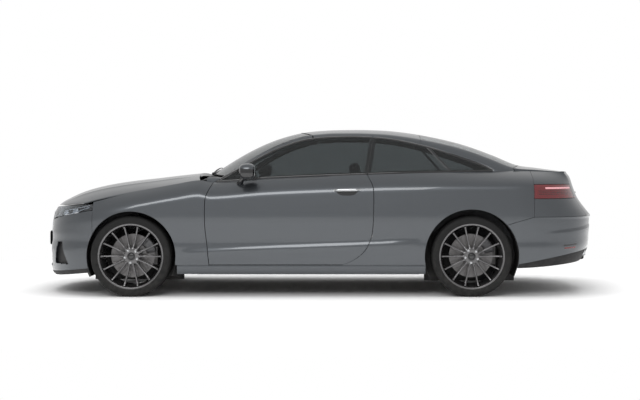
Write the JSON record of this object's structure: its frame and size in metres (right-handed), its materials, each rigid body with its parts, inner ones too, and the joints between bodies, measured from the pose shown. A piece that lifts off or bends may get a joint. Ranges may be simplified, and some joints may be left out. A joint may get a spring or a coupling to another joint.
{
  "type": "coupe car",
  "caption": "Two-door coupe car with hollow cabin, spoked wheels that roll and steer, opening doors, bonnet and boot lid.",
  "frame": {"origin": "on the ground below the middle of the car", "axes": "nose towards -X, left side towards -Y, up towards +Z"},
  "size_m": [4.8298, 2.0406, 1.4304],
  "materials": {
    "body_paint": "metallic mid-grey paint under clear coat",
    "underbody": "black primer and sealing",
    "engine_metal": "plain cast block",
    "exhaust_steel": "brushed stainless steel",
    "window_glass": "dark tinted glass",
    "lamp_clear": "clear lamp cover",
    "lamp_red": "dark red lamp cover",
    "black_trim": "black grained plastic",
    "dash_plastic": "soft black moulding",
    "wheel_leather": "smooth black leather",
    "seat_leather": "dark stitched leather",
    "knuckle_iron": "dark cast metal",
    "tyre_rubber": "black tyre rubber",
    "rim_alloy": "titanium-grey painted alloy",
    "disc_iron": "machined brake disc"
  },
  "bodies": {
    "car_body": {"floor_pan": "underbody", "side_skirts": "body_paint", "front_frame": "underbody", "rear_frame": "underbody", "engine": "engine_metal", "exhaust": "exhaust_steel", "subframes": "underbody", "front_bumper": "body_paint", "rear_bumper": "body_paint", "front_wings": "body_paint", "quarter_panels": "body_paint", "screen_pillars": "body_paint", "roof": "body_paint", "windscreen": "window_glass", "rear_window": "window_glass", "quarter_glass": "window_glass", "head_lamps": "lamp_clear", "tail_lamps": "lamp_red", "grille": "black_trim", "wiper_tray": "black_trim", "dashboard": "dash_plastic", "seats": "seat_leather", "rear_knuckles": "knuckle_iron"},
    "door_left": {"left_door": "body_paint", "left_door_glass": "window_glass", "left_mirror": "body_paint"},
    "door_right": {"right_door": "body_paint", "right_door_glass": "window_glass", "right_mirror": "body_paint"},
    "bonnet_panel": {"bonnet": "body_paint"},
    "boot_panel": {"boot_lid": "body_paint"},
    "steer_left": {"left_knuckle": "knuckle_iron"},
    "steer_right": {"right_knuckle": "knuckle_iron"},
    "wheel_front_left": {"front_left_tyre": "tyre_rubber", "front_left_rim": "rim_alloy", "front_left_disc": "disc_iron"},
    "wheel_front_right": {"front_right_tyre": "tyre_rubber", "front_right_rim": "rim_alloy", "front_right_disc": "disc_iron"},
    "wheel_rear_left": {"rear_left_tyre": "tyre_rubber", "rear_left_rim": "rim_alloy", "rear_left_disc": "disc_iron"},
    "wheel_rear_right": {"rear_right_tyre": "tyre_rubber", "rear_right_rim": "rim_alloy", "rear_right_disc": "disc_iron"},
    "steering": {"steering_wheel": "wheel_leather"}
  },
  "joints": [
    {"name": "left_door_hinge", "type": "hinge", "parent": "car_body", "child": "door_left", "pos_m": [-0.8361, -0.90053, 0.585], "axis": [0, 0, -1], "range_deg": [0, 65]},
    {"name": "right_door_hinge", "type": "hinge", "parent": "car_body", "child": "door_right", "pos_m": [-0.8361, 0.90053, 0.585], "axis": [0, 0, 1], "range_deg": [0, 65]},
    {"name": "bonnet_hinge", "type": "hinge", "parent": "car_body", "child": "bonnet_panel", "pos_m": [-0.96, 0, 0.945], "axis": [0, 1, 0], "range_deg": [0, 50]},
    {"name": "boot_hinge", "type": "hinge", "parent": "car_body", "child": "boot_panel", "pos_m": [1.5591, 0, 1], "axis": [0, -1, 0], "range_deg": [0, 70]},
    {"name": "left_steering", "type": "hinge", "parent": "car_body", "child": "steer_left", "pos_m": [-1.575, -0.7, 0.34], "axis": [0, 0, 1], "range_deg": [-33, 33]},
    {"name": "right_steering", "type": "hinge", "parent": "car_body", "child": "steer_right", "pos_m": [-1.575, 0.7, 0.34], "axis": [0, 0, 1], "range_deg": [-33, 33]},
    {"name": "steering_column", "type": "hinge", "parent": "car_body", "child": "steering", "pos_m": [-0.48, -0.37, 0.8], "axis": [0.9272, 0, 0.3746], "range_deg": [-462, 462]},
    {"name": "front_left_spin", "type": "hinge", "parent": "steer_left", "child": "wheel_front_left", "pos_m": [-1.575, -0.79, 0.34], "axis": [0, 1, 0], "continuous": true},
    {"name": "front_right_spin", "type": "hinge", "parent": "steer_right", "child": "wheel_front_right", "pos_m": [-1.575, 0.79, 0.34], "axis": [0, 1, 0], "continuous": true},
    {"name": "rear_left_spin", "type": "hinge", "parent": "car_body", "child": "wheel_rear_left", "pos_m": [1.298, -0.785, 0.34], "axis": [0, 1, 0], "continuous": true},
    {"name": "rear_right_spin", "type": "hinge", "parent": "car_body", "child": "wheel_rear_right", "pos_m": [1.298, 0.785, 0.34], "axis": [0, 1, 0], "continuous": true}
  ],
  "couplings": [
    {"joint": "right_steering", "follows": "left_steering", "ratio": 1},
    {"joint": "steering_column", "follows": "left_steering", "ratio": 14}
  ]
}
